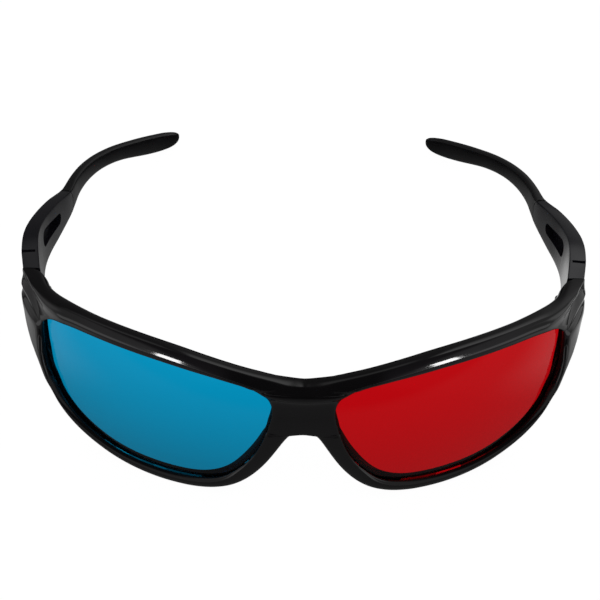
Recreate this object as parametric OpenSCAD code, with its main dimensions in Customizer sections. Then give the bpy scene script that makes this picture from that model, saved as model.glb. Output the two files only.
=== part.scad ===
// Wrap-around red and cyan viewing glasses: one moulded front with two lenses,
// two folding temples on moulded three-barrel hinges, and two ear tips.
// Millimetres, +Z up, the wearer looks along -Y, the part stands on its rims and ear tips at Z = 0.

/* [Front] */
// Width of one lens opening
lens_width = 58.7; // [54:0.1:61]
// Height of one lens opening
lens_height = 33; // [28:0.1:36]
// Distance between the two lens openings across the bridge
lens_gap = 15.4; // [13:0.1:20]
// Radius of the sphere that the lenses follow
base_radius = 104; // [98:1:120]
// Distance from the lens opening out to the outer face of the hinge end
end_reach = 6.7; // [6:0.1:9]
// Distance from the outer edge of the lens back to the hinge gap
end_depth = 13.6; // [12:0.1:18]
// Height of the bottom rim, under the lens opening
rim_height = 2.9; // [2.4:0.1:4]
// Height of the brow bar over the lens opening
brow_height = 3.5; // [2.8:0.1:5]
// How far the brow bar stands out in front of the lens
brow_overhang = 2.5; // [1.8:0.1:3.5]

/* [Lenses] */
// Thickness of a lens
lens_thickness = 2; // [1.5:0.1:2.4]
// How far a lens reaches into its groove
lens_lap = 0.8; // [0.5:0.1:0.9]
// Free space round a lens in its groove
lens_clearance = 0.1; // [0.05:0.01:0.15]

/* [Temples] */
// Length of one arm from the hinge gap to the end of the ear tip
arm_length = 116.2; // [105:0.2:130]
// Thickness of a temple at the hinge
arm_thickness = 4.6; // [4:0.1:5.2]
// Thickness of an ear tip
tip_thickness = 2.9; // [2.7:0.1:3.4]
// How far the end of an ear tip curves in from the outer face of the hinge
tip_inset = 27.5; // [22:0.5:30]
// Height of the end piece and the temple at the hinge
end_height = 12.8; // [11.5:0.1:14]
// Depth of the pocket in the inner face of a temple
pocket_depth = 2.1; // [1:0.1:2.4]
// Width of the seam between a temple and its ear tip
seam_gap = 0.25; // [0.15:0.05:0.4]

/* [Hinges] */
// Gap between the end piece and the temple
hinge_gap = 0.35; // [0.25:0.05:0.5]
// Radius of a hinge barrel
barrel_radius = 1.6; // [1.4:0.05:1.8]
// Height of one frame barrel
barrel_height = 1.6; // [1.4:0.1:1.9]
// Height of the barrel on the temple
temple_barrel_height = 1.8; // [1.5:0.1:2.2]
// Radius of the shank of a hinge screw
screw_radius = 0.7; // [0.6:0.05:0.8]
// Radius of the head of a hinge screw
screw_head_radius = 1.2; // [1:0.05:1.3]
// Radial clearance of the temple barrel on the screw
running_clearance = 0.05; // [0.03:0.01:0.08]

/* [Hidden] */
$fn = 48;

// Heights
opening_bottom = rim_height;
opening_top = rim_height + lens_height;
end_rise = 0.4;
end_top = opening_top + end_rise;
end_bottom = end_top - end_height;

// Heights on the middle plane, as shares of the lens height
arch_share = 0.562;
crease_share = 0.874;
brow_share = 0.963;
arch_top = opening_bottom + lens_height * arch_share;
crease = opening_bottom + lens_height * crease_share;
brow_middle = opening_bottom + lens_height * brow_share;

// The lens sphere: its centre lies a little under the table, so the front leans back
base_height = -1.5;
sphere_facets = 360;

// Depths of the moulded front, measured along Y from the front of the lens
recess_nose = 1.3;
recess_bottom = 1.7;
recess_side = 3.4;
brow_lean = 0.7;
bow_drop = 0.4;
// Depths behind the back of the lens
lip_bottom = 1.1;
lip_brow = 1.6;
lip_side = 1.8;
lip_nose = 3.2;
edge = 0.5;
crown = 0.15;
// How far the lip behind the lens reaches further in than the groove, as a share of its tuck
lip_share = 1.7;
lift_limit = 0.12;

// The free points of the side plate of an end piece, as shares of its way to the hinge
plate_mid = [0.62, 0.275, 0.6];
plate_out = [1.06, 0.74, 1];

// Plan of the hinges
hinge_outer = lens_gap / 2 + lens_width + end_reach;
hinge_y = lens_front(hinge_outer - end_reach, (end_top + end_bottom) / 2) + end_depth;
hinge_inner = hinge_outer - arm_thickness;
axis_inset = 0.4;
axis_x = hinge_inner - axis_inset;
axis_y = hinge_y + hinge_gap / 2;
barrel_slit = 0.1;
barrel_relief = 0.3;
barrel_lift = 0.4;
barrel_z1 = end_bottom + barrel_lift;
barrel_z2 = barrel_z1 + barrel_height + barrel_slit;
barrel_z3 = barrel_z2 + temple_barrel_height + barrel_slit;
barrel_top = barrel_z3 + barrel_height;
web_reach = 1.6;
screw_fit = 0.02;
screw_head_height = 0.6;
screw_head_room = 0.5;
slot_width = 0.35;
slot_depth = 0.35;

// The temple starts behind the hinge gap; its faces are a little crowned
arm_crown = 0.06;
arm_start = hinge_y + hinge_gap;
seam_lift = 0.7;
seam_margin = 0.15;
tongue_length = 9;
tongue_thickness = 1.4;
tongue_height = 3.2;
tongue_root = 3;
tongue_clearance = 0.1;
groove_row = 1;
groove_width = 0.5;
groove_depth = 0.6;
groove_share = 0.67;

// The middle of the part's own box along Y becomes the origin
front_limit = min([for (row = ring_smooth(sections()), p = row) p[1]]);
arm_limit = max([for (p = arm_section(len(arm_rows()) - 1)) p[1]]);
shift_y = -(front_limit + arm_limit) / 2;

function mix(a, b, t) = a + (b - a) * t;
function ease(t) = 1 - pow(1 - t, 2);
function lens_front(x, z) =
    base_radius - sqrt(pow(base_radius, 2) - x * x - pow(z - base_height, 2));
function lens_back(x, z) =
    base_radius - sqrt(pow(base_radius - lens_thickness, 2) - x * x - pow(z - base_height, 2));
function opening_point(u, v) =
    [lens_gap / 2 + lens_width * u, opening_bottom + lens_height * v];
function unit(d) = d / norm(d);

// Four points of the lens groove, from the back round to the front
function groove_points(a, d) =
    let (reach = lens_lap + lens_clearance, g = a + unit(d) * reach, c = lens_clearance)
    [[a[0], lens_back(a[0], a[1]) + c, a[1]],
     [g[0], lens_back(g[0], g[1]) + c, g[1]],
     [g[0], lens_front(g[0], g[1]) - c, g[1]],
     [a[0], lens_front(a[0], a[1]) - c, a[1]]];

// One section of a rim: opening shares, step to the outer edge, recess, lip and flare of the back,
// how far the lens groove is tucked in from the front edge of the opening, and the outer bevel
function rim_section(u, v, step, recess, lip, flare, tuck = 0, bevel = edge) =
    let (a = opening_point(u, v), w = norm(step), d = unit(step), wb = w + flare)
    let (p = function (s) a + d * s, q = -lip_share * tuck)
    let (yf = function (s) lens_front(p(s)[0], p(s)[1]) - recess)
    let (yb = function (s) lens_back(p(s)[0], p(s)[1]) + lip)
    let (at = function (s, y) [p(s)[0], y, p(s)[1]])
    concat(
        [at(0, yf(0) + edge), at(edge, yf(edge)), at((w - bevel) / 2, yf((w - bevel) / 2) - crown * edge / bevel),
         at(w - bevel, yf(w - bevel)), at(w, yf(w) + edge),
         at(w + flare / 2, mix(yf(w), yb(wb), 0.5)),
         at(wb, yb(wb) - edge), at(wb - edge, yb(wb - edge)), at(wb / 2, yb(wb / 2)),
         at(q + edge, yb(q + edge)), at(q, yb(q) - edge / 2)],
        groove_points(a - d * tuck, d));

// One section of the brow bar: a front face that leans back a little, a level top, and a rounded back.
// The first points stand square to the edge of the opening, along away; turn is where the top starts,
// and bow lets a section that runs to the middle get there level
function brow_section(u, v, step, overhang, lip, away, lean = brow_lean, turn = 0.7, bow = 0) =
    let (a = opening_point(u, v), h = norm(step), d = unit(step), n = a + unit(away) * edge)
    let (p = function (s) a + [d[0] * s, step[1] * mix(s / h, ease(s / h), bow)])
    let (yf = function (s) lens_front(p(s)[0], a[1]) - overhang + lean * s / h)
    let (yb = function (s) lens_back(p(s)[0], a[1]) + lip)
    let (at = function (s, y) [p(s)[0], y, p(s)[1]])
    let (r = 2 * edge, round = 0.4 * h, s3 = h * turn, s2 = 0.65 * s3)
    concat(
        [at(0, yf(0) + edge), [n[0], yf(edge), n[1]], at(s2, yf(s2) - crown),
         at(s3, yf(s3) + bow_drop * bow * bow), at(h, yf(h) + r),
         at(h, mix(yf(h), yb(h), 0.42)),
         at(h - 0.25, mix(yf(h), yb(h), 0.75)), at(h - round, yb(h - round)), at(h * 0.3, yb(h * 0.3)),
         [n[0], yb(edge), n[1]], at(0, yb(0) - edge / 2)],
        groove_points(a, away));

// One section of an end piece, from the opening out and back to the end face at the hinge.
// Its two free points are given as shares of that way: across, back and up
function end_section(u, v, share, inset, fill, tuck, mid, out) =
    let (a = opening_point(u, v), f = lens_front(a[0], a[1]) - recess_side, zb = mix(end_top, end_bottom, share))
    let (b = lens_back(a[0], a[1]) + lip_side, xo = hinge_outer - inset, xi = hinge_inner + inset)
    let (at = function (s) [mix(a[0], xo, s[0]), mix(f, hinge_y, s[1]), mix(a[1], zb, s[2])])
    let (q = a[0] - lip_share * tuck, lead = [0.24 * mid[0], 0.02, 0.24 * mid[2]])
    concat(
        [[a[0], f + edge, a[1]], at(lead), at(mid), at(out),
         [xo, hinge_y, zb], [(xo + xi) / 2, hinge_y, zb], [xi, hinge_y, zb],
         [mix(xi, a[0], 0.4) - fill, mix(hinge_y, b, 0.35), mix(zb, a[1], 0.2)],
         [mix(xi, a[0], 0.8) - fill, mix(hinge_y, b, 0.65), mix(zb, a[1], 0.5)],
         [q + edge, b, mix(zb, a[1], 0.95)], [q, b - edge / 2, a[1]]],
        groove_points(a - [tuck, 0], [1, 0]));

// One section of the bridge: from the opening to the middle plane at height zb, level when it gets there
function bridge_section(u, v, zb, front_a, front_b, lip_b, drop, away) =
    let (a = opening_point(u, v), near = drop > 0 ? 0.85 : 0.75, n = a + unit(away) * edge)
    let (p = function (t) [mix(a[0], 0, t), mix(a[1], zb, ease(t))])
    let (yf = function (t) lens_front(p(t)[0], p(t)[1]) - mix(front_a, front_b, ease(t)))
    let (yb = function (t) lens_back(p(t)[0], p(t)[1]) + mix(lip_nose, lip_b, ease(t)))
    let (at = function (t, y) [p(t)[0], y, p(t)[1]])
    concat(
        [at(0, yf(0) + edge), [n[0], yf(0.06), n[1]], at(0.4, yf(0.4)), at(near, yf(near) + 0.5 * drop),
         at(1, yf(1) + drop), at(1, mix(yf(1), yb(1), 0.5)), at(1, yb(1) - drop),
         at(near, yb(near) - 0.5 * drop), at(0.4, yb(0.4)), [n[0], yb(0.06), n[1]], at(0, yb(0) - edge / 2)],
        groove_points(a, away));

// The sections in order round one opening, from the middle of the brow outward
function sections() = let (r = rim_height, b = brow_height, o = brow_overhang, n = recess_nose) [
    bridge_section(0.080, 0.909, brow_middle, o, o + 0.5, 0, 1, [-0.6, 0.8]),
    brow_section(0.086, 0.913, [-3.10, 0.51] * b, o, lip_brow - 0.7, [-0.58, 0.82], 0.4, 0.8, 1),
    brow_section(0.093, 0.918, [-2.53, 0.50] * b, o, lip_brow - 0.4, [-0.55, 0.83], 0.5, 0.7, 0.8),
    brow_section(0.103, 0.924, [-1.55, 0.60] * b, o, lip_brow + 0.2, [-0.5, 0.87], 0.6, 0.6, 0.5),
    brow_section(0.128, 0.936, [-0.55, 0.78] * b, o, lip_brow, [-0.4, 0.92]),
    brow_section(0.249, 0.969, [-0.08, 0.90] * b, o, lip_brow, [-0.2, 0.98]),
    brow_section(0.414, 0.997, [0, 0.95] * b, o, lip_brow, [0, 1]),
    brow_section(0.584, 1.000, [0, 1] * b, o, lip_brow, [0, 1]),
    brow_section(0.738, 0.991, [0.13, 1] * b, o, lip_brow, [0.1, 1]),
    brow_section(0.857, 0.972, [0.36, 1] * b, o, lip_brow + 0.6, [0.25, 0.97]),
    brow_section(0.942, 0.939, [0.72, 1.02] * b, o + 0.4, lip_brow + 2, [0.5, 0.87]),
    end_section(0.981, 0.887, 0, 0.1, 1.2, 0.3, [0.22, 0.463, 0.685], [0.79, 0.766, 0.90]),
    end_section(0.988, 0.856, 0.13, 0, 1.1, 0.5, [0.31, 0.393, 0.70], [1.07, 0.732, 0.96]),
    end_section(0.992, 0.835, 0.23, 0, 1, 0.7, [0.386, 0.36, 0.84], [0.958, 0.705, 0.98]),
    end_section(0.995, 0.815, 0.33, 0, 1, 0.8, [0.60, 0.274, 0.83], [1.036, 0.655, 0.92]),
    end_section(0.998, 0.782, 0.42, 0, 0.8, 0.9, [0.633, 0.264, 0.63], [1.06, 0.695, 0.90]),
    end_section(1.000, 0.715, 0.58, 0, 0.3, 0.95, plate_mid, plate_out),
    end_section(0.997, 0.623, 0.92, 0, 0, 0.95, plate_mid, plate_out),
    end_section(0.991, 0.560, 1, 0.4, 0, 0.95, [0.60, 0.283, 0.6], [1.03, 0.74, 1]),
    rim_section(0.976, 0.460, [0.72, -0.10] * r, recess_side - 0.3, lip_side, 0.8, 0.95),
    rim_section(0.950, 0.380, [0.50, -0.17] * r, recess_side - 0.6, lip_side - 0.2, 0.8, 0.9),
    rim_section(0.918, 0.276, [0.48, -0.38] * r, recess_side - 1, lip_bottom + 0.3, 0.7, 0.7),
    rim_section(0.840, 0.163, [0.45, -0.68] * r, recess_bottom + 0.3, lip_bottom, 0.4, 0.35),
    rim_section(0.729, 0.067, [0.30, -0.82] * r, recess_bottom, lip_bottom, 0, 0.1),
    rim_section(0.618, 0.018, [0.13, -0.92] * r, recess_bottom, lip_bottom, 0),
    rim_section(0.508, 0, [0, -1] * r, recess_bottom, lip_bottom, 0),
    rim_section(0.397, 0, [0, -1] * r, recess_bottom, lip_bottom, 0),
    rim_section(0.295, 0.021, [-0.36, -1.02] * r, recess_bottom, lip_bottom, 0),
    rim_section(0.210, 0.074, [-0.74, -0.95] * r, recess_bottom, lip_bottom + 0.6, 0),
    rim_section(0.150, 0.163, [-1.10, -0.90] * r, n, lip_nose - 1, -0.5),
    rim_section(0.099, 0.267, [-1.34, -0.62] * r, n, lip_nose, -0.9),
    rim_section(0.061, 0.377, [-1.55, -0.36] * r, n, lip_nose, -1),
    rim_section(0.036, 0.482, [-1.93, 0] * r, n, lip_nose - 0.4, -0.8, 0, 0.6),
    rim_section(0.028, 0.525, [-2.30, 0.24] * r, n, lip_nose - 1.7, -0.3, 0, 1.2),
    rim_section(0.024, 0.543, [-2.68, 0.17] * r, n, lip_nose - 2.4, -0.1, 0, 3.2),
    bridge_section(0.020, 0.560, arch_top, n, n, 0, 0.4, [-1, 0.1]),
    bridge_section(0.016, 0.585, arch_top + 0.7, n, n, -0.1, 0, [-1, 0.1]),
    bridge_section(0.007, 0.640, mix(arch_top, crease, 0.3), n, n, -0.2, 0, [-1, 0.1]),
    bridge_section(0.001, 0.705, mix(arch_top, crease, 0.55), n, n, -0.4, 0, [-1, 0]),
    bridge_section(0, 0.762, mix(arch_top, crease, 0.76), n, n + 0.2, -0.6, 0, [-1, 0.1]),
    bridge_section(0.013, 0.822, mix(arch_top, crease, 0.9), n + 0.15, n + 0.7, -0.5, 0, [-0.9, 0.4]),
    bridge_section(0.034, 0.865, crease - 0.3, n + 0.6, o, -0.4, 0, [-0.75, 0.66]),
    bridge_section(0.053, 0.890, crease, o, o + 0.3, -0.3, 0, [-0.68, 0.73]),
    bridge_section(0.062, 0.897, mix(crease, brow_middle, 0.33), o, o + 0.4, -0.2, 0, [-0.64, 0.77]),
    bridge_section(0.071, 0.903, mix(crease, brow_middle, 0.7), o, o + 0.5, -0.1, 0, [-0.62, 0.78])];

// A point half way from p1 to p2 on a smooth curve; its lift off the chord is limited
function between(p0, p1, p2, p3) =
    let (lift = (p1 + p2 - p0 - p3) / 16, most = lift_limit * norm(p2 - p1))
    (p1 + p2) / 2 + (norm(lift) > most ? unit(lift) * most : lift);

// Smooth sections between the given ones; no point crosses the middle plane, the hinge gap or the table
function keep_side(p) = [max(0, p[0]), min(hinge_y, p[1]), max(0, p[2])];
function ring_smooth(s) = let (n = len(s), m = len(s[0]))
    [for (i = [0 : n - 1], half = [0, 1])
        half == 0 ? s[i]
        : [for (k = [0 : m - 1])
            keep_side(between(s[(i + n - 1) % n][k], s[i][k], s[(i + 1) % n][k], s[(i + 2) % n][k]))]];

// Both halves of the front as one closed surface; points on the middle plane are shared
module front_shell() {
    s = ring_smooth(sections());
    n = len(s);
    m = len(s[0]);
    flat = [for (row = s, p = row) p];
    mirrored = [for (p = flat) [-p[0], p[1], p[2]]];
    count = len(flat);
    own = function (j, k) (j % n) * m + (k % m);
    twin = function (i) flat[i][0] == 0 ? i : i + count;
    cells = [for (j = [0 : n - 1], k = [0 : m - 1])
        let (q = [own(j, k), own(j, k + 1), own(j + 1, k + 1), own(j + 1, k)])
        if (max([for (i = q) flat[i][0]]) > 0) q];
    faces = [for (q = cells) each [[q[0], q[1], q[2]], [q[0], q[2], q[3]]]];
    twins = [for (f = faces) [twin(f[2]), twin(f[1]), twin(f[0])]];
    polyhedron(concat(flat, mirrored), concat(faces, twins));
}

// Outline of a lens, as wide as the groove allows
function lens_outline() = let (s = ring_smooth(sections()), share = lens_lap / (lens_lap + lens_clearance))
    [for (row = s) let (p = mix(row[14], row[13], share)) [p[0], p[2]]];

module lens_solid() {
    intersection() {
        translate([0, base_radius, base_height])
            difference() {
                sphere(r = base_radius, $fn = sphere_facets);
                sphere(r = base_radius - lens_thickness, $fn = sphere_facets);
            }
        translate([0, base_radius, 0])
            rotate([90, 0, 0])
                linear_extrude(base_radius + lens_thickness)
                    polygon(lens_outline());
    }
}

// Arm rows: share of the length, sideways share of the tip's inset, top and bottom as shares
// of the end height over the table, thickness, size of the rounded corners
function arm_rows() = let (t = arm_thickness, e = tip_thickness) [
    [0, 0, 0.998, 0.648, t, 0.4],
    [0.050, 0.051, 1.018, 0.650, t, 0.4],
    [0.094, 0.076, 1.026, 0.656, mix(t, e, 0.12), 0.4],
    [0.129, 0.080, 1.020, 0.656, mix(t, e, 0.24), 0.4],
    [0.163, 0.073, 1.003, 0.648, mix(t, e, 0.35), 0.4],
    [0.206, 0.055, 0.972, 0.630, mix(t, e, 0.47), 0.4],
    [0.249, 0.029, 0.936, 0.612, mix(t, e, 0.55), 0.4],
    [0.300, -0.004, 0.884, 0.598, mix(t, e, 0.65), 0.4],
    [0.351, -0.040, 0.822, 0.588, mix(t, e, 0.75), 0.5],
    [0.385, -0.058, 0.778, 0.582, mix(t, e, 0.82), 0.6],
    [0.420, -0.073, 0.757, 0.578, mix(t, e, 0.9), 0.7],
    [0.462, -0.091, 0.738, 0.568, e, 0.8],
    [0.530, -0.138, 0.697, 0.537, e, 0.9],
    [0.615, -0.229, 0.619, 0.468, e, 0.9],
    [0.700, -0.360, 0.521, 0.366, e, 0.9],
    [0.765, -0.476, 0.431, 0.264, e, 0.9],
    [0.826, -0.604, 0.346, 0.161, e, 0.9],
    [0.885, -0.735, 0.258, 0.070, e, 0.9],
    [0.940, -0.862, 0.173, 0.012, e, 0.9],
    [0.970, -0.935, 0.124, 0, e, 0.9],
    [0.990, -0.978, 0.086, 0.008, 0.9 * e, 0.9],
    [1.000, -1.000, 0.056, 0.024, 0.59 * e, 0.9]];

function arm_point(i) = let (r = arm_rows()[i]) [hinge_outer + tip_inset * r[1], arm_start + arm_length * r[0]];
function arm_heading(i) = let (n = len(arm_rows()), p = arm_point(max(0, i - 1)), q = arm_point(min(n - 1, i + 1)))
    i == 0 ? 0 : atan((q[0] - p[0]) / (q[1] - p[1]));

// A rounded upright section of the arm, square to its heading
function arm_section(i) =
    let (r = arm_rows()[i], p = arm_point(i), h = arm_heading(i))
    let (top = end_top * r[2], low = end_top * r[3], t = r[4], c = min(r[5], 0.3 * t, 0.3 * (top - low)))
    let (at = function (s, z) [p[0] - cos(h) * s, p[1] + sin(h) * s, z], k = 0.3 * c, e = arm_crown)
    [at(e, low + c), at(k, low + k), at(c, low + e), at(t / 2, low),
     at(t - c, low + e), at(t - k, low + k), at(t - e, low + c), at(t, (low + top) / 2),
     at(t - e, top - c), at(t - k, top - k), at(t - c, top - e), at(t / 2, top),
     at(c, top - e), at(k, top - k), at(e, top - c), at(0, (low + top) / 2)];

function line_smooth(s) = let (n = len(s), m = len(s[0]))
    [for (i = [0 : n - 1], half = [0, 1])
        if (half == 0 || i < n - 1)
            half == 0 ? s[i]
            : [for (k = [0 : m - 1])
                between(s[max(0, i - 1)][k], s[i][k], s[i + 1][k], s[min(n - 1, i + 2)][k])]];

module arm_loft(first, last) {
    s = line_smooth([for (i = [first : last]) arm_section(i)]);
    n = len(s);
    m = len(s[0]);
    points = [for (row = s, p = row) p];
    sides = [for (j = [0 : n - 2], k = [0 : m - 1])
        let (a = j * m + k, b = (j + 1) * m + k, c = (j + 1) * m + (k + 1) % m, d = j * m + (k + 1) % m)
        each [[a, b, c], [a, c, d]]];
    start_cap = [for (k = [0 : m - 1]) k];
    end_cap = [for (k = [m - 1 : -1 : 0]) (n - 1) * m + k];
    polyhedron(points, concat(sides, [start_cap, end_cap]));
}

// The seam: the temple ends in a round nose that the ear tip wraps
seam_row = 9;
seam_overlap = 2;
seam_x = arm_point(seam_row)[0] - arm_rows()[seam_row][4] / 2;
seam_z = end_top * (arm_rows()[seam_row][2] + arm_rows()[seam_row][3]) / 2;
// The round of the seam reaches over the top of the row in front of it
seam_radius = end_top * arm_rows()[seam_row - 1][2] - seam_z - seam_lift + seam_margin;
seam_heading = arm_heading(seam_row);

module at_seam() {
    translate([seam_x, arm_point(seam_row)[1], seam_z])
        rotate([0, 0, -seam_heading])
            children();
}

// The space of the temple in front of the seam, grown by a gap
module seam_space(gap) {
    at_seam() {
        translate([0, -seam_radius, seam_lift])
            rotate([0, 90, 0])
                cylinder(r = seam_radius + gap, h = arm_length, center = true);
        translate([-arm_length / 2, -seam_radius - arm_length, -end_top])
            cube([arm_length, arm_length, 2 * end_top]);
    }
}

module tongue(clearance) {
    at_seam()
        translate([-tongue_thickness / 2 - clearance, -tongue_length - clearance, -tongue_height / 2 - clearance])
            cube([tongue_thickness + 2 * clearance, tongue_length + tongue_root, tongue_height + 2 * clearance]);
}

// The pocket in the inner face of a temple, a slot that narrows to the rear
pocket_front = [arm_start + arm_length * 0.163, end_top * 0.852];
pocket_rear = [arm_start + arm_length * 0.272, end_top * 0.755];
pocket_front_radius = 2.5;
pocket_rear_radius = 1.7;
pocket_row_front = 4;
pocket_row_rear = 7;

function pocket_arc(c, r, from) = [for (k = [0 : 8]) c + r * [cos(from + k * 22.5), sin(from + k * 22.5)]];

module pocket() {
    slope = atan((pocket_rear[1] - pocket_front[1]) / (pocket_rear[0] - pocket_front[0]));
    inner_a = arm_section(pocket_row_front)[7];
    inner_b = arm_section(pocket_row_rear)[7];
    heading = atan((inner_b[0] - inner_a[0]) / (inner_b[1] - inner_a[1]));
    outline = concat(pocket_arc(pocket_rear - pocket_front, pocket_rear_radius, slope - 90),
                     pocket_arc([0, 0], pocket_front_radius, slope + 90));
    translate([inner_a[0], pocket_front[0], pocket_front[1]])
        rotate([0, 0, -heading])
            translate([-arm_thickness, 0, 0])
                rotate([90, 0, 90])
                    linear_extrude(arm_thickness + pocket_depth)
                        polygon(outline);
}

module top_groove() {
    top = end_top * arm_rows()[groove_row][2];
    translate([arm_point(groove_row)[0] - groove_share * arm_thickness, arm_point(groove_row)[1], top - groove_depth])
        cube([arm_thickness, groove_width, end_rise + groove_depth]);
}

module barrel(z, height) {
    translate([axis_x, axis_y, z])
        cylinder(r = barrel_radius, h = height);
}

module barrel_scoop(z, height) {
    translate([axis_x, axis_y, z - barrel_slit])
        cylinder(r = barrel_radius + barrel_relief, h = height + 2 * barrel_slit);
}

// Room for the screw head over the upper frame barrel
module head_scoop() {
    translate([axis_x, axis_y, barrel_top])
        cylinder(r = barrel_radius + barrel_relief, h = screw_head_height + screw_head_room);
}

// Arm of a frame barrel, forward into the end piece
module frame_web(z, height) {
    translate([axis_x, hinge_y - web_reach, z])
        cube([axis_inset + web_reach, web_reach, height]);
}

// Arm of the temple barrel, back into the temple
module temple_web(z, height) {
    translate([axis_x, arm_start, z])
        cube([axis_inset + web_reach, web_reach, height]);
}

module screw_bore(radius) {
    translate([axis_x, axis_y, barrel_z1 - barrel_lift])
        cylinder(r = radius, h = barrel_top - barrel_z1 + 2 * barrel_lift);
}

module frame_barrels() {
    for (z = [barrel_z1, barrel_z3]) {
        barrel(z, barrel_height);
        frame_web(z, barrel_height);
    }
}

module hinge_cuts() {
    barrel_scoop(barrel_z2, temple_barrel_height);
    head_scoop();
    screw_bore(screw_radius + screw_fit);
}

module temple_solid() {
    difference() {
        union() {
            intersection() {
                arm_loft(0, seam_row + seam_overlap);
                seam_space(0);
            }
            temple_web(barrel_z2, temple_barrel_height);
            barrel(barrel_z2, temple_barrel_height);
        }
        barrel_scoop(barrel_z1, barrel_height);
        barrel_scoop(barrel_z3, barrel_height);
        head_scoop();
        screw_bore(screw_radius + running_clearance);
        tongue(tongue_clearance);
        pocket();
        top_groove();
    }
}

module ear_tip_solid() {
    difference() {
        arm_loft(seam_row - seam_overlap, len(arm_rows()) - 1);
        seam_space(seam_gap);
    }
    tongue(0);
}

module screw_solid() {
    translate([axis_x, axis_y, 0])
        difference() {
            union() {
                translate([0, 0, barrel_z1])
                    cylinder(r = screw_radius, h = barrel_top - barrel_z1);
                translate([0, 0, barrel_top])
                    cylinder(r = screw_head_radius, h = screw_head_height);
            }
            translate([-slot_width / 2, -screw_head_radius, barrel_top + screw_head_height - slot_depth])
                cube([slot_width, 2 * screw_head_radius, screw_head_height]);
        }
}

module in_place() {
    translate([0, shift_y, 0])
        children();
}

module right_side() {
    mirror([1, 0, 0])
        children();
}

module front_frame() {
    color([0.05, 0.05, 0.06])
        in_place()
            difference() {
                union() {
                    front_shell();
                    frame_barrels();
                    right_side()
                        frame_barrels();
                }
                hinge_cuts();
                right_side()
                    hinge_cuts();
            }
}

module left_lens() {
    color([0.75, 0.05, 0.06, 0.7])
        in_place()
            lens_solid();
}

module right_lens() {
    color([0.03, 0.58, 0.75, 0.7])
        in_place()
            right_side()
                lens_solid();
}

module left_temple() {
    color([0.07, 0.07, 0.08])
        in_place()
            temple_solid();
}

module right_temple() {
    color([0.07, 0.07, 0.08])
        in_place()
            right_side()
                temple_solid();
}

module left_ear_tip() {
    color([0.12, 0.12, 0.13])
        in_place()
            ear_tip_solid();
}

module right_ear_tip() {
    color([0.12, 0.12, 0.13])
        in_place()
            right_side()
                ear_tip_solid();
}

module left_hinge_screw() {
    color([0.7, 0.7, 0.72])
        in_place()
            screw_solid();
}

module right_hinge_screw() {
    color([0.7, 0.7, 0.72])
        in_place()
            right_side()
                screw_solid();
}

front_frame();
right_lens();
left_lens();
right_temple();
left_temple();
right_ear_tip();
left_ear_tip();
right_hinge_screw();
left_hinge_screw();
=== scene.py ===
import math

import bpy
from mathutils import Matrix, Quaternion, Vector
from mathutils.bvhtree import BVHTree
from mathutils.kdtree import KDTree


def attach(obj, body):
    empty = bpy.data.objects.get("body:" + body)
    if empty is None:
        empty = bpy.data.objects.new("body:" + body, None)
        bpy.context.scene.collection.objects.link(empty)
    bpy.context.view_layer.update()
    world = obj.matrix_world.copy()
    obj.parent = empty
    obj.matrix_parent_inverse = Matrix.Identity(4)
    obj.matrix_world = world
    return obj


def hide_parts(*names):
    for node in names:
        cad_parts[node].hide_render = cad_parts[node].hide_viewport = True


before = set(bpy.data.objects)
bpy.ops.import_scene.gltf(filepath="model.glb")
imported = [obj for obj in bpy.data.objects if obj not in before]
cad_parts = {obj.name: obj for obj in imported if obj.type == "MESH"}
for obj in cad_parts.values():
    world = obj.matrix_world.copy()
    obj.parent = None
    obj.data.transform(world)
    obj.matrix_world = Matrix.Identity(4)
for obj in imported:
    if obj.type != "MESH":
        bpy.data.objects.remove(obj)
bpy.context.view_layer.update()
bpy.context.scene.view_settings.view_transform = "Standard"


# Front frame: one moulding of black plastic with the brow bar, both rims, the nose bridge and the
# two end pieces. It comes out of a polished mould, so the skin is glossy with a faint flow ripple.
FRONT_BLACK = (0.0030, 0.0026, 0.0031, 1.0)
MERGE_DISTANCE = 0.000002
HARD_EDGE = math.radians(62)
SOFT_SHADE = math.radians(38)
FLAT_PAIR = math.radians(70)
GRID_PULL = 1.5
ROUNDING = 2
RUB_SHARE = 0.5
PLASTIC_IOR = 1.5
PALE_SHARE = 1.7
TONE_SCALE = 140.0
FLOW_SCALE = 420.0
FLOW_DEPTH = 0.0002
PORE_SCALE = 5200.0
PORE_DEPTH = 0.00004
HINGE_CLEAR = (0.040, 0.046)
LENS_CLEAR = (0.0004, 0.0012)
BRIDGE_SIDE = (0.020, 0.028)
LENS_CORNER = Vector((0.0664, -0.0510, 0.0325))
LENS_CORNER_REACH = (0.0050, 0.0085)
NOSE_CORNER = Vector((0.0115, -0.0758, 0.0335))
NOSE_CORNER_REACH = (0.0040, 0.0070)


def moulded_copy(node, name):
    """A new piece with a node's mesh, its loose triangles merged into quads and its hard edges creased."""
    bpy.ops.object.select_all(action="DESELECT")
    piece = bpy.data.objects.new(name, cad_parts[node].data.copy())
    bpy.context.scene.collection.objects.link(piece)
    bpy.context.view_layer.objects.active = piece
    piece.select_set(True)
    piece.data.materials.clear()
    bpy.ops.object.mode_set(mode="EDIT")
    bpy.ops.mesh.select_all(action="SELECT")
    bpy.ops.mesh.customdata_custom_splitnormals_clear()
    bpy.ops.mesh.remove_doubles(threshold=MERGE_DISTANCE)
    bpy.ops.mesh.tris_convert_to_quads(
        face_threshold=FLAT_PAIR, shape_threshold=FLAT_PAIR, topology_influence=GRID_PULL)
    bpy.ops.mesh.select_all(action="DESELECT")
    bpy.ops.mesh.edges_select_sharp(sharpness=HARD_EDGE)
    bpy.ops.transform.edge_crease(value=1.0)
    bpy.ops.object.mode_set(mode="OBJECT")
    return piece


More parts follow.
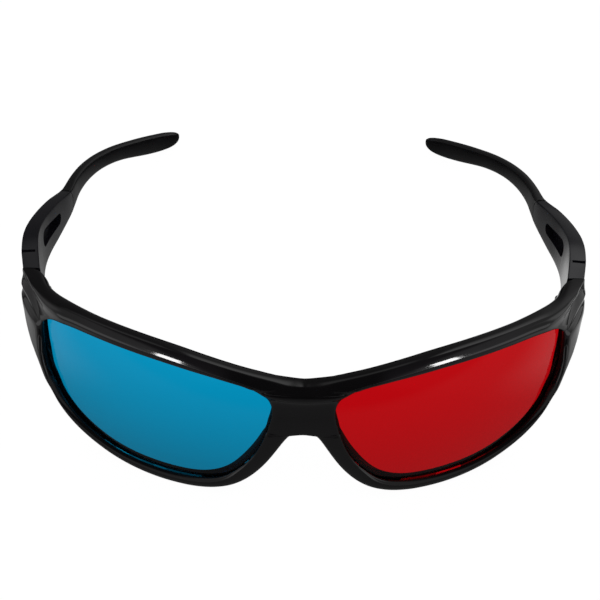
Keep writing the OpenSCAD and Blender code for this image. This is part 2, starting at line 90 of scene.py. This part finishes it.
def smooth_skin(piece):
    """Rounds a piece with subdivision and shades it smooth up to its hard edges."""
    skin = piece.modifiers.new("skin", "SUBSURF")
    skin.levels = ROUNDING
    skin.render_levels = ROUNDING
    bpy.ops.object.modifier_apply(modifier=skin.name)
    bpy.ops.object.shade_smooth_by_angle(angle=SOFT_SHADE)


def polish_skin(piece, name, strokes, weight_at):
    """Rubs out small waves in a skin, as polishing does, as far as weight_at gives weight to a point."""
    group = piece.vertex_groups.new(name=name)
    for vertex in piece.data.vertices:
        weight = weight_at(vertex.co)
        if weight > 0:
            group.add([vertex.index], weight, "REPLACE")
    rub = piece.modifiers.new(name, "SMOOTH")
    rub.factor = RUB_SHARE
    rub.iterations = strokes
    rub.vertex_group = group.name
    bpy.ops.object.modifier_apply(modifier=rub.name)
    piece.vertex_groups.clear()


def new_finish(name):
    """A new material with its node tree and its shader."""
    material = bpy.data.materials.new(name)
    material.use_nodes = True
    return material, material.node_tree, material.node_tree.nodes["Principled BSDF"]


def cloud(tree, scale, detail=2.0):
    """A cloudy pattern that sits still on the piece."""
    place = tree.nodes.new("ShaderNodeTexCoord")
    pattern = tree.nodes.new("ShaderNodeTexNoise")
    pattern.inputs["Scale"].default_value = scale
    pattern.inputs["Detail"].default_value = detail
    tree.links.new(place.outputs["Object"], pattern.inputs["Vector"])
    return pattern.outputs["Fac"]


def tint(tree, share, first, second, socket):
    """Mixes two colours by a pattern and sends them to a socket."""
    mix = tree.nodes.new("ShaderNodeMix")
    mix.data_type = "RGBA"
    mix.inputs[6].default_value = first
    mix.inputs[7].default_value = second
    tree.links.new(share, mix.inputs[0])
    tree.links.new(mix.outputs[2], socket)


def vary(tree, pattern, low, high, socket):
    """Lets a pattern vary a socket between two values."""
    spread = tree.nodes.new("ShaderNodeMapRange")
    spread.inputs["To Min"].default_value = low
    spread.inputs["To Max"].default_value = high
    tree.links.new(pattern, spread.inputs["Value"])
    tree.links.new(spread.outputs["Result"], socket)


def relief(tree, pattern, strength, depth, socket):
    """Raises a pattern as a shallow relief in the skin."""
    bump = tree.nodes.new("ShaderNodeBump")
    bump.inputs["Strength"].default_value = strength
    bump.inputs["Distance"].default_value = depth
    tree.links.new(pattern, bump.inputs["Height"])
    tree.links.new(bump.outputs["Normal"], socket)
    return bump


def shaded(colour, share):
    """A colour made darker or paler."""
    return tuple(channel * share for channel in colour[:3]) + (1.0,)


def moulded_plastic(name, colour, roughness, spread, ripple, grain):
    """Plastic from a mould: a slow flow ripple, a fine grain, and polish that varies over the skin."""
    material, tree, shader = new_finish(name)
    shader.inputs["IOR"].default_value = PLASTIC_IOR
    tone = cloud(tree, TONE_SCALE, detail=6.0)
    tint(tree, tone, colour, shaded(colour, PALE_SHARE), shader.inputs["Base Color"])
    vary(tree, tone, roughness - spread, roughness + spread, shader.inputs["Roughness"])
    pores = relief(tree, cloud(tree, PORE_SCALE, detail=3.0), grain, PORE_DEPTH, shader.inputs["Normal"])
    relief(tree, cloud(tree, FLOW_SCALE), ripple, FLOW_DEPTH, pores.inputs["Normal"])
    return material


def fade(value, low, high):
    """0 below low, 1 above high, and an even slope between."""
    return min(1.0, max(0.0, (value - low) / (high - low)))


lens_nodes = [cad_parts[side + "_lens"] for side in ("right", "left")]
lens_points = KDTree(sum(len(lens.data.vertices) for lens in lens_nodes))
for lens in lens_nodes:
    for vertex in lens.data.vertices:
        lens_points.insert(vertex.co, vertex.index)
lens_points.balance()


def off_the_hinges(point):
    """Full weight on the front, none at the hinges."""
    return fade(-point.y, HINGE_CLEAR[0], HINGE_CLEAR[1])


def off_the_lens(point):
    """Full weight away from the lenses and the hinges, none beside them."""
    return off_the_hinges(point) * fade(lens_points.find(point)[2], LENS_CLEAR[0], LENS_CLEAR[1])


def on_the_bridge(point):
    """Full weight on the middle of the brow and the bridge, none beside the lenses."""
    return off_the_lens(point) * fade(-abs(point.x), -BRIDGE_SIDE[1], -BRIDGE_SIDE[0])


def round_a_corner(point, corner, reach):
    """Full weight close to a corner of the left side or the same one of the right, none further off."""
    apart = (Vector((abs(point.x), point.y, point.z)) - corner).length
    return fade(-apart, -reach[1], -reach[0])


def at_the_outer_corners(point):
    """Full weight round the outer top corner of each lens opening."""
    return round_a_corner(point, LENS_CORNER, LENS_CORNER_REACH)


def at_the_nose(point):
    """Full weight round the inner top corner of each lens opening."""
    return round_a_corner(point, NOSE_CORNER, NOSE_CORNER_REACH)


front = moulded_copy("front_frame", "front_moulding")
smooth_skin(front)
polish_skin(front, "all_over", strokes=14, weight_at=off_the_hinges)
polish_skin(front, "skin", strokes=10, weight_at=off_the_lens)
polish_skin(front, "bridge", strokes=50, weight_at=on_the_bridge)
polish_skin(front, "corners", strokes=60, weight_at=at_the_outer_corners)
polish_skin(front, "nose", strokes=30, weight_at=at_the_nose)
front.data.materials.append(
    moulded_plastic("gloss_black", FRONT_BLACK, roughness=0.09, spread=0.03, ripple=0.03, grain=0.02))
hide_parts("front_frame")
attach(front, "front")


# Lenses: two spherical shells of dyed clear plastic, cyan over the right eye and red over the left.
# Each snaps into the groove round its rim; the faces are polished and faintly scuffed.
CYAN_DYE = (0.0010, 0.2250, 0.4050, 1.0)
# The grades below darken each dye towards the foot of its lens and pale it towards the top. This is painted
# shade, standing for the frame's shade on the table seen through the lower part of the lens.
CYAN_SHADE_GRADE = 0.28
RED_DYE = (0.4300, 0.0022, 0.0045, 1.0)
RED_SHADE_GRADE = 0.15
LENS_IOR = 1.49
LENS_SHEEN = (0.35, 0.35, 0.35, 1.0)
# Heights over which that painted shade fades: darkest at the foot, palest at the top.
LENS_SHADE_FOOT = 0.006
LENS_SHADE_HEAD = 0.036
DYE_SCALE = 25.0
DYE_UNEVEN = 0.06
SCUFF_SCALE = 900.0
SCUFF_MOST = 0.04


def dyed_lens_with_painted_shade(name, dye, shade_grade):
    """Clear dyed plastic with a polished face, a little uneven in polish, with painted shade that darkens
    the dye towards the foot.
    """
    material, tree, shader = new_finish(name)
    shader.inputs["IOR"].default_value = LENS_IOR
    shader.inputs["Specular Tint"].default_value = LENS_SHEEN
    shader.inputs["Transmission Weight"].default_value = 1.0
    place = tree.nodes.new("ShaderNodeTexCoord")
    split = tree.nodes.new("ShaderNodeSeparateXYZ")
    tree.links.new(place.outputs["Object"], split.inputs[0])
    # Painted shade: the dye is darkened by height alone, most at the foot of the lens.
    shade_height = tree.nodes.new("ShaderNodeMapRange")
    shade_height.inputs["From Min"].default_value = LENS_SHADE_FOOT
    shade_height.inputs["From Max"].default_value = LENS_SHADE_HEAD
    tree.links.new(split.outputs["Z"], shade_height.inputs["Value"])
    uneven_and_shade = tree.nodes.new("ShaderNodeMath")
    uneven_and_shade.operation = "MULTIPLY_ADD"
    uneven_and_shade.inputs[1].default_value = DYE_UNEVEN
    tree.links.new(cloud(tree, DYE_SCALE), uneven_and_shade.inputs[0])
    tree.links.new(shade_height.outputs["Result"], uneven_and_shade.inputs[2])
    # The darker colour at the foot and the paler one at the top are painted shade, not a change in the dye.
    shaded_dye = shaded(dye, 1.0 - shade_grade)
    lit_dye = shaded(dye, 1.0 + shade_grade)
    tint(tree, uneven_and_shade.outputs[0], shaded_dye, lit_dye, shader.inputs["Base Color"])
    vary(tree, cloud(tree, SCUFF_SCALE), 0.0, SCUFF_MOST, shader.inputs["Roughness"])
    return material


for side, dye, shade_grade in (("right", CYAN_DYE, CYAN_SHADE_GRADE), ("left", RED_DYE, RED_SHADE_GRADE)):
    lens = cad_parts[side + "_lens"]
    lens.data.materials.clear()
    lens.data.materials.append(dyed_lens_with_painted_shade(side + "_dye_painted_shade", dye, shade_grade))


# Hinge screws: small turned steel screws, each the pivot of a temple, driven down through the barrels.
# The turning leaves fine rings round the axis, and the steel is plain and a little uneven in polish.
STEEL_GREY = (0.56, 0.56, 0.58, 1.0)
STEEL_PALE = (0.66, 0.66, 0.67, 1.0)
STEEL_SCALE = 1500.0
STEEL_POLISH = (0.22, 0.40)
RING_SCALE = 3000.0
RING_STRENGTH = 0.15
RING_DEPTH = 0.00002


def turned_steel(name, screw):
    """Plain steel with the fine rings of a lathe round the screw's own axis."""
    corners = [Vector(corner) for corner in screw.bound_box]
    axis = sum(corners, Vector()) / len(corners)
    material, tree, shader = new_finish(name)
    shader.inputs["Metallic"].default_value = 1.0
    place = tree.nodes.new("ShaderNodeTexCoord")
    centred = tree.nodes.new("ShaderNodeMapping")
    centred.inputs["Location"].default_value = -axis
    tree.links.new(place.outputs["Object"], centred.inputs["Vector"])
    rings = tree.nodes.new("ShaderNodeTexWave")
    rings.wave_type = "RINGS"
    rings.rings_direction = "Z"
    rings.inputs["Scale"].default_value = RING_SCALE
    tree.links.new(centred.outputs["Vector"], rings.inputs["Vector"])
    stain = cloud(tree, STEEL_SCALE)
    tint(tree, stain, STEEL_GREY, STEEL_PALE, shader.inputs["Base Color"])
    vary(tree, stain, STEEL_POLISH[0], STEEL_POLISH[1], shader.inputs["Roughness"])
    relief(tree, rings.outputs["Fac"], RING_STRENGTH, RING_DEPTH, shader.inputs["Normal"])
    return material


for side in ("right", "left"):
    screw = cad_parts[side + "_hinge_screw"]
    screw.data.materials.clear()
    screw.data.materials.append(turned_steel(side + "_screw_steel", screw))


# Temples: the front sections of the arms, moulded in black plastic with less gloss than the front.
# Each turns on its screw between the barrels of the front, and has a short groove across its top.
TEMPLE_BLACK = (0.0060, 0.0057, 0.0082, 1.0)
GROOVE_PLACE = Vector((0.0729, -0.0300, 0.0373))
GROOVE_SIZE = Vector((0.0042, 0.0009, 0.0018))
GROOVE_TURN = math.radians(7.4)
temple_skin = moulded_plastic(
    "temple_black", TEMPLE_BLACK, roughness=0.18, spread=0.04, ripple=0.03, grain=0.05)


def cut_groove(temple, side):
    """Mills the short dark groove across the top of a temple to its full width."""
    hand = 1 if side == "left" else -1
    place = Vector((hand * GROOVE_PLACE.x, GROOVE_PLACE.y, GROOVE_PLACE.z))
    bpy.ops.object.select_all(action="DESELECT")
    bpy.ops.mesh.primitive_cube_add(
        size=1, location=place, rotation=(0, 0, -hand * GROOVE_TURN), scale=GROOVE_SIZE)
    cutter = bpy.context.object
    bpy.ops.object.select_all(action="DESELECT")
    bpy.context.view_layer.objects.active = temple
    temple.select_set(True)
    mill = temple.modifiers.new("groove", "BOOLEAN")
    mill.operation = "DIFFERENCE"
    mill.solver = "EXACT"
    mill.object = cutter
    bpy.ops.object.modifier_apply(modifier=mill.name)
    bpy.data.objects.remove(cutter)
    bpy.ops.object.shade_smooth_by_angle(angle=SOFT_SHADE)


for side in ("right", "left"):
    temple = moulded_copy(side + "_temple", side + "_temple_moulding")
    smooth_skin(temple)
    cut_groove(temple, side)
    temple.data.materials.append(temple_skin)
    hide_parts(side + "_temple")
    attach(temple, side + "_arm")


# Ear tips: the rear sections of the arms, moulded in softer black plastic with a satin skin. A tongue
# on each is pushed into a socket in its temple, and the joint shows as a fine curved seam.
TIP_BLACK = (0.0036, 0.0034, 0.0041, 1.0)
SEAM_REACH = 0.0006
SEAM_AHEAD = 0.6
SEAM_FACING = 0.85
SEAM_LINE = 0.0004
TIP_END = (0.064, 0.079)
TIP_LEAN = 0.0015
TIP_TALL = 0.0065
tip_skin = moulded_plastic("tip_satin", TIP_BLACK, roughness=0.28, spread=0.05, ripple=0.02, grain=0.12)


def seat_on_temple(tip, temple):
    """Closes the fitting gap inside the seam and opens its edge, so that the seam shows as a fine line."""
    skin = BVHTree.FromObject(temple, bpy.context.evaluated_depsgraph_get())
    face = tip.vertex_groups.new(name="seam_face")
    edge = tip.vertex_groups.new(name="seam_edge")
    for vertex in tip.data.vertices:
        nearest, _, _, gap = skin.find_nearest(vertex.co)
        toward = (nearest - vertex.co).normalized()
        if gap < SEAM_REACH and toward.y < -SEAM_AHEAD:
            group = face if vertex.normal.dot(toward) > SEAM_FACING else edge
            group.add([vertex.index], 1.0, "REPLACE")
    for group, offset in ((face, 0.0), (edge, SEAM_LINE)):
        seat = tip.modifiers.new(group.name, "SHRINKWRAP")
        seat.target = temple
        seat.wrap_method = "NEAREST_SURFACEPOINT"
        seat.vertex_group = group.name
        seat.offset = offset
        bpy.ops.object.modifier_apply(modifier=seat.name)
    tip.vertex_groups.clear()


def blunt_end(tip):
    """Leans the foot of the tip's end forward, so that the end is a broad paddle and not a point."""
    for vertex in tip.data.vertices:
        low = 1.0 - fade(vertex.co.z, 0.0, TIP_TALL)
        vertex.co.y -= TIP_LEAN * low * fade(vertex.co.y, TIP_END[0], TIP_END[1])


for side in ("right", "left"):
    tip = moulded_copy(side + "_ear_tip", side + "_tip_moulding")
    smooth_skin(tip)
    seat_on_temple(tip, bpy.data.objects[side + "_temple_moulding"])
    blunt_end(tip)
    tip.data.materials.append(tip_skin)
    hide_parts(side + "_ear_tip")
    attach(tip, side + "_arm")


# Table: a plain pale sheet that takes the part's soft shadow and shows white to the camera. Gloss
# mirrors it as a dim sheet, with brighter zones at the sides and at the back right. From here on,
# left and right are those of the picture and not the wearer's.
TABLE_SIZE = 6.0
TABLE_PALE = (0.8, 0.8, 0.8, 1.0)
TABLE_WHITE = 1.08
WHITE_SHARE = 0.9
RIM_GLOW = 0.06
MIRROR_FAR = 0.02
MIRROR_FRONT = 0.17
MIRROR_MIDDLE = 0.01
MIRROR_ARMS = 0.22
MIRROR_BESIDE = 0.55
MIRROR_RIGHT = 0.50
MIRROR_FAR_SIDE = 1.0
# A zone comes up or goes down over a span: OUT to the side, START and END from the front to the back.
FRONT_START = (-0.190, -0.150)
FRONT_END = (-0.050, -0.020)
ARMS_OUT = (0.033, 0.060)
ARMS_END = (0.060, 0.100)
ARMS_END_SHARE = 0.3
BESIDE_OUT = (0.078, 0.125)
BESIDE_START = (-0.110, -0.055)
BESIDE_START_SHARE = 0.1
BESIDE_END = (-0.030, 0.010)
RIGHT_OUT = (0.054, 0.068)
RIGHT_START = (-0.030, -0.010)
RIGHT_END = (0.012, 0.030)
FAR_OUT = (0.180, 0.400)
FAR_END = (-0.200, -0.080)


def ramp(tree, value, span, start=0.0, end=1.0):
    """A smooth step from start to end while a value goes through a span."""
    step = tree.nodes.new("ShaderNodeMapRange")
    step.interpolation_type = "SMOOTHSTEP"
    step.inputs["From Min"].default_value = span[0]
    step.inputs["From Max"].default_value = span[1]
    step.inputs["To Min"].default_value = start
    step.inputs["To Max"].default_value = end
    tree.links.new(value, step.inputs["Value"])
    return step.outputs["Result"]


def ramp_down(tree, value, span, end=0.0):
    """A smooth step down from 1."""
    return ramp(tree, value, span, 1.0, end)


def combine(tree, operation, *values):
    """Joins values with math nodes, each held between 0 and 1."""
    joined = values[0]
    for value in values[1:]:
        node = tree.nodes.new("ShaderNodeMath")
        node.operation = operation
        node.use_clamp = True
        tree.links.new(joined, node.inputs[0])
        tree.links.new(value, node.inputs[1])
        joined = node.outputs[0]
    return joined


def with_number(tree, operation, value, number):
    """Joins a value and a plain number with a math node."""
    node = tree.nodes.new("ShaderNodeMath")
    node.operation = operation
    node.inputs[1].default_value = number
    tree.links.new(value, node.inputs[0])
    return node.outputs[0]


def directions(tree, coordinates):
    """How far a point lies to the right, to either side, back and up."""
    place = tree.nodes.new("ShaderNodeTexCoord")
    split = tree.nodes.new("ShaderNodeSeparateXYZ")
    tree.links.new(place.outputs[coordinates], split.inputs[0])
    across = split.outputs["X"]
    return across, combine(tree, "ABSOLUTE", across, across), split.outputs["Y"], split.outputs["Z"]


def sort_rays(tree):
    """Parts rays that the eye sees, rays that gloss mirrors, and the glow of those inside a lens's rim."""
    rays = tree.nodes.new("ShaderNodeLightPath")
    depth = rays.outputs["Glossy Depth"]
    through = rays.outputs["Is Transmission Ray"]
    bounced = combine(tree, "MINIMUM", depth, depth)
    seen = combine(tree, "MAXIMUM", rays.outputs["Is Camera Ray"], through)
    seen = combine(tree, "SUBTRACT", seen, bounced)
    mirrored = combine(tree, "SUBTRACT", bounced, rays.outputs["Is Diffuse Ray"])
    return seen, mirrored, with_number(tree, "MULTIPLY", through, RIM_GLOW)


bpy.ops.object.select_all(action="DESELECT")
bpy.ops.mesh.primitive_plane_add(size=TABLE_SIZE, location=(0, 0, 0))
table = bpy.context.object
table.name = "table"
paper = bpy.data.materials.new("white_table")
paper.use_nodes = True
tree = paper.node_tree
tree.nodes.remove(tree.nodes["Principled BSDF"])
across, outward, along, _ = directions(tree, "Object")
in_front = combine(
    tree, "MULTIPLY",
    ramp(tree, along, FRONT_START, MIRROR_FAR, MIRROR_FRONT),
    ramp_down(tree, along, FRONT_END))
between_arms = combine(
    tree, "MULTIPLY",
    ramp(tree, outward, ARMS_OUT, MIRROR_MIDDLE, MIRROR_ARMS),
    ramp(tree, along, FRONT_END),
    ramp_down(tree, along, ARMS_END, ARMS_END_SHARE))
beside = combine(
    tree, "MULTIPLY",
    ramp(tree, outward, BESIDE_OUT, 0.0, MIRROR_BESIDE),
    ramp(tree, along, BESIDE_START, BESIDE_START_SHARE),
    ramp_down(tree, along, BESIDE_END))
at_right = combine(
    tree, "MULTIPLY",
    ramp(tree, across, RIGHT_OUT, 0.0, MIRROR_RIGHT),
    ramp(tree, along, RIGHT_START),
    ramp_down(tree, along, RIGHT_END))
far_beside = combine(
    tree, "MULTIPLY",
    ramp(tree, outward, FAR_OUT, 0.0, MIRROR_FAR_SIDE),
    ramp_down(tree, along, FAR_END))

seen, mirrored, rim_glow = sort_rays(tree)
matt = tree.nodes.new("ShaderNodeBsdfDiffuse")
matt.inputs["Color"].default_value = TABLE_PALE
white = tree.nodes.new("ShaderNodeEmission")
white.inputs["Strength"].default_value = TABLE_WHITE
to_eye = tree.nodes.new("ShaderNodeMixShader")
tree.links.new(with_number(tree, "MULTIPLY", seen, WHITE_SHARE), to_eye.inputs["Fac"])
tree.links.new(matt.outputs[0], to_eye.inputs[1])
tree.links.new(white.outputs[0], to_eye.inputs[2])
gleam = tree.nodes.new("ShaderNodeEmission")
sheet = combine(tree, "ADD", in_front, between_arms, beside, at_right, far_beside, rim_glow)
tree.links.new(sheet, gleam.inputs["Strength"])
to_all = tree.nodes.new("ShaderNodeMixShader")
tree.links.new(mirrored, to_all.inputs["Fac"])
tree.links.new(to_eye.outputs[0], to_all.inputs[1])
tree.links.new(gleam.outputs[0], to_all.inputs[2])
tree.links.new(to_all.outputs[0], tree.nodes["Material Output"].inputs["Surface"])
table.data.materials.append(paper)


# Studio: an even room at plain level, white where the camera sees it and dim where gloss mirrors it,
# with brighter zones at the sides and behind. Two soft boxes in front draw the thin highlights on the
# brow, and a louvre on each lets its light fall only there: it asks where the lit point lies.
ROOM_WHITE = (1.0, 1.0, 1.0, 1.0)
ROOM_LIGHT = 0.5
ROOM_SEEN = 1.0
ROOM_MIRROR = 0.03
ROOM_SIDE_MIRROR = 0.30
ROOM_OUT = (0.30, 0.55)
ROOM_BACK_START = (0.30, 0.60)
ROOM_BACK_MIRROR = (0.04, 0.25)
ROOM_BACK_OUT = (-0.05, 0.45)
LOW_SIDE_MIRROR = (0.25, 0.75)
LOW_SIDE_OUT = (0.70, 0.88)
LOW_SIDE_ACROSS = (-0.70, 0.70)
LOW_SIDE_START = (-0.05, 0.20)
FRONT_SIDE_MIRROR = 1.0
FRONT_SIDE_OUT = (0.68, 0.85)
FRONT_SIDE_END = (-0.25, -0.05)
FRONT_SIDE_TOP = (0.10, 0.30)
HIGH_START = (0.47, 0.56)
HIGH_RIGHT_MIRROR = 0.90
HIGH_RIGHT_OUT = (0.03, 0.11)
HIGH_RIGHT_FOOT = (0.45, 0.82)
HIGH_LEFT_MIRROR = 0.30
HIGH_LEFT_OUT = (-0.10, -0.02)
HIGH_LEFT_FOOT = (0.62, 0.78)
LOUVRE_FOOT = (0.026, 0.030)
LOUVRE_MIDDLE = (0.016, 0.022)
LOUVRE_SIDE = (0.050, 0.058)
BOX_LEFT = Vector((-0.425, -0.575, 0.240))
BOX_RIGHT = Vector((0.460, -0.545, 0.240))
BOX_AIM = Vector((0.0, -0.03, 0.02))
BOX_WIDTH = 0.11
BOX_HEIGHT = 0.42
BOX_POWER = 3.6

world = bpy.data.worlds.new("room")
bpy.context.scene.world = world
world.use_nodes = True
tree = world.node_tree
across, outward, along, upward = directions(tree, "Generated")
beside = combine(
    tree, "MULTIPLY",
    ramp(tree, outward, ROOM_OUT, 0.0, ROOM_SIDE_MIRROR),
    ramp_down(tree, along, ROOM_BACK_START))
low_side = combine(
    tree, "MULTIPLY",
    ramp(tree, outward, LOW_SIDE_OUT),
    ramp(tree, along, LOW_SIDE_START),
    ramp(tree, across, LOW_SIDE_ACROSS, LOW_SIDE_MIRROR[0], LOW_SIDE_MIRROR[1]))
front_side = combine(
    tree, "MULTIPLY",
    ramp(tree, outward, FRONT_SIDE_OUT, 0.0, FRONT_SIDE_MIRROR),
    ramp_down(tree, along, FRONT_SIDE_END),
    ramp_down(tree, upward, FRONT_SIDE_TOP))
at_back = combine(
    tree, "MULTIPLY",
    ramp(tree, across, ROOM_BACK_OUT, ROOM_BACK_MIRROR[0], ROOM_BACK_MIRROR[1]),
    ramp(tree, along, ROOM_BACK_START))
high_right = combine(
    tree, "MULTIPLY",
    ramp(tree, across, HIGH_RIGHT_OUT, 0.0, HIGH_RIGHT_MIRROR),
    ramp(tree, upward, HIGH_RIGHT_FOOT),
    ramp(tree, along, HIGH_START))
high_left = combine(
    tree, "MULTIPLY",
    ramp(tree, across, HIGH_LEFT_OUT, HIGH_LEFT_MIRROR, 0.0),
    ramp(tree, upward, HIGH_LEFT_FOOT),
    ramp(tree, along, HIGH_START))

seen, mirrored, rim_glow = sort_rays(tree)
zones = combine(tree, "ADD", beside, low_side, front_side, at_back, high_right, high_left, rim_glow)
mirror = tree.nodes.new("ShaderNodeMix")
tree.links.new(mirrored, mirror.inputs[0])
tree.links.new(ramp(tree, seen, (0.0, 1.0), ROOM_LIGHT, ROOM_SEEN), mirror.inputs[2])
tree.links.new(with_number(tree, "ADD", zones, ROOM_MIRROR), mirror.inputs[3])
tree.nodes["Background"].inputs["Color"].default_value = ROOM_WHITE
tree.links.new(mirror.outputs[0], tree.nodes["Background"].inputs["Strength"])


def soft_box(name, place):
    """A tall lamp that faces the glasses, with a louvre that lets its light fall on the brow alone."""
    bpy.ops.object.select_all(action="DESELECT")
    turn = (BOX_AIM - place).to_track_quat("-Z", "Y").to_euler()
    bpy.ops.object.light_add(type="AREA", location=place, rotation=turn)
    lamp = bpy.context.object
    lamp.name = name
    lamp.data.shape = "RECTANGLE"
    lamp.data.size = BOX_WIDTH
    lamp.data.size_y = BOX_HEIGHT
    lamp.data.energy = BOX_POWER
    lamp.data.use_nodes = True
    tree = lamp.data.node_tree
    lamp_face = tree.nodes.new("ShaderNodeNewGeometry")
    rays = tree.nodes.new("ShaderNodeLightPath")
    throw = tree.nodes.new("ShaderNodeVectorMath")
    throw.operation = "SCALE"
    tree.links.new(lamp_face.outputs["Incoming"], throw.inputs[0])
    tree.links.new(rays.outputs["Ray Length"], throw.inputs["Scale"])
    lit_point = tree.nodes.new("ShaderNodeVectorMath")
    lit_point.operation = "ADD"
    tree.links.new(lamp_face.outputs["Position"], lit_point.inputs[0])
    tree.links.new(throw.outputs[0], lit_point.inputs[1])
    split = tree.nodes.new("ShaderNodeSeparateXYZ")
    tree.links.new(lit_point.outputs[0], split.inputs[0])
    outward = combine(tree, "ABSOLUTE", split.outputs["X"], split.outputs["X"])
    louvre = combine(
        tree, "MULTIPLY",
        ramp(tree, split.outputs["Z"], LOUVRE_FOOT),
        ramp(tree, outward, LOUVRE_MIDDLE),
        ramp_down(tree, outward, LOUVRE_SIDE))
    tree.links.new(louvre, tree.nodes["Emission"].inputs["Strength"])


soft_box("front_left_box", BOX_LEFT)
soft_box("front_right_box", BOX_RIGHT)


# Camera: in front of the glasses and above them, as the photograph was taken, on a square frame.
# Its place, turn and focal length are those at which the part's outline falls on the photograph's.
PHOTO_SIDE = 600
FOCAL_PIXELS = 1107.5
MIDDLE_PIXEL = (303.5, 302.1)
SENSOR = 36.0
NEAR_CLIP = 0.01
LOOK_AT = Vector((0.0, -0.0320, 0.0225))
RANGE = 0.2999
HEIGHT_ANGLE = math.radians(42.19)
SIDE_ANGLE = math.radians(1.18)
ROLL_ANGLE = math.radians(1.90)

back = Vector((
    -math.sin(SIDE_ANGLE) * math.cos(HEIGHT_ANGLE),
    -math.cos(SIDE_ANGLE) * math.cos(HEIGHT_ANGLE),
    math.sin(HEIGHT_ANGLE)))
turn = (-back).to_track_quat("-Z", "Y") @ Quaternion((0.0, 0.0, 1.0), ROLL_ANGLE)
bpy.ops.object.select_all(action="DESELECT")
bpy.ops.object.camera_add(location=LOOK_AT + back * RANGE, rotation=turn.to_euler())
camera = bpy.context.object
camera.data.sensor_width = SENSOR
camera.data.lens = SENSOR * FOCAL_PIXELS / PHOTO_SIDE
camera.data.shift_x = (PHOTO_SIDE / 2 - MIDDLE_PIXEL[0]) / PHOTO_SIDE
camera.data.shift_y = (MIDDLE_PIXEL[1] - PHOTO_SIDE / 2) / PHOTO_SIDE
camera.data.clip_start = NEAR_CLIP
bpy.context.scene.camera = camera
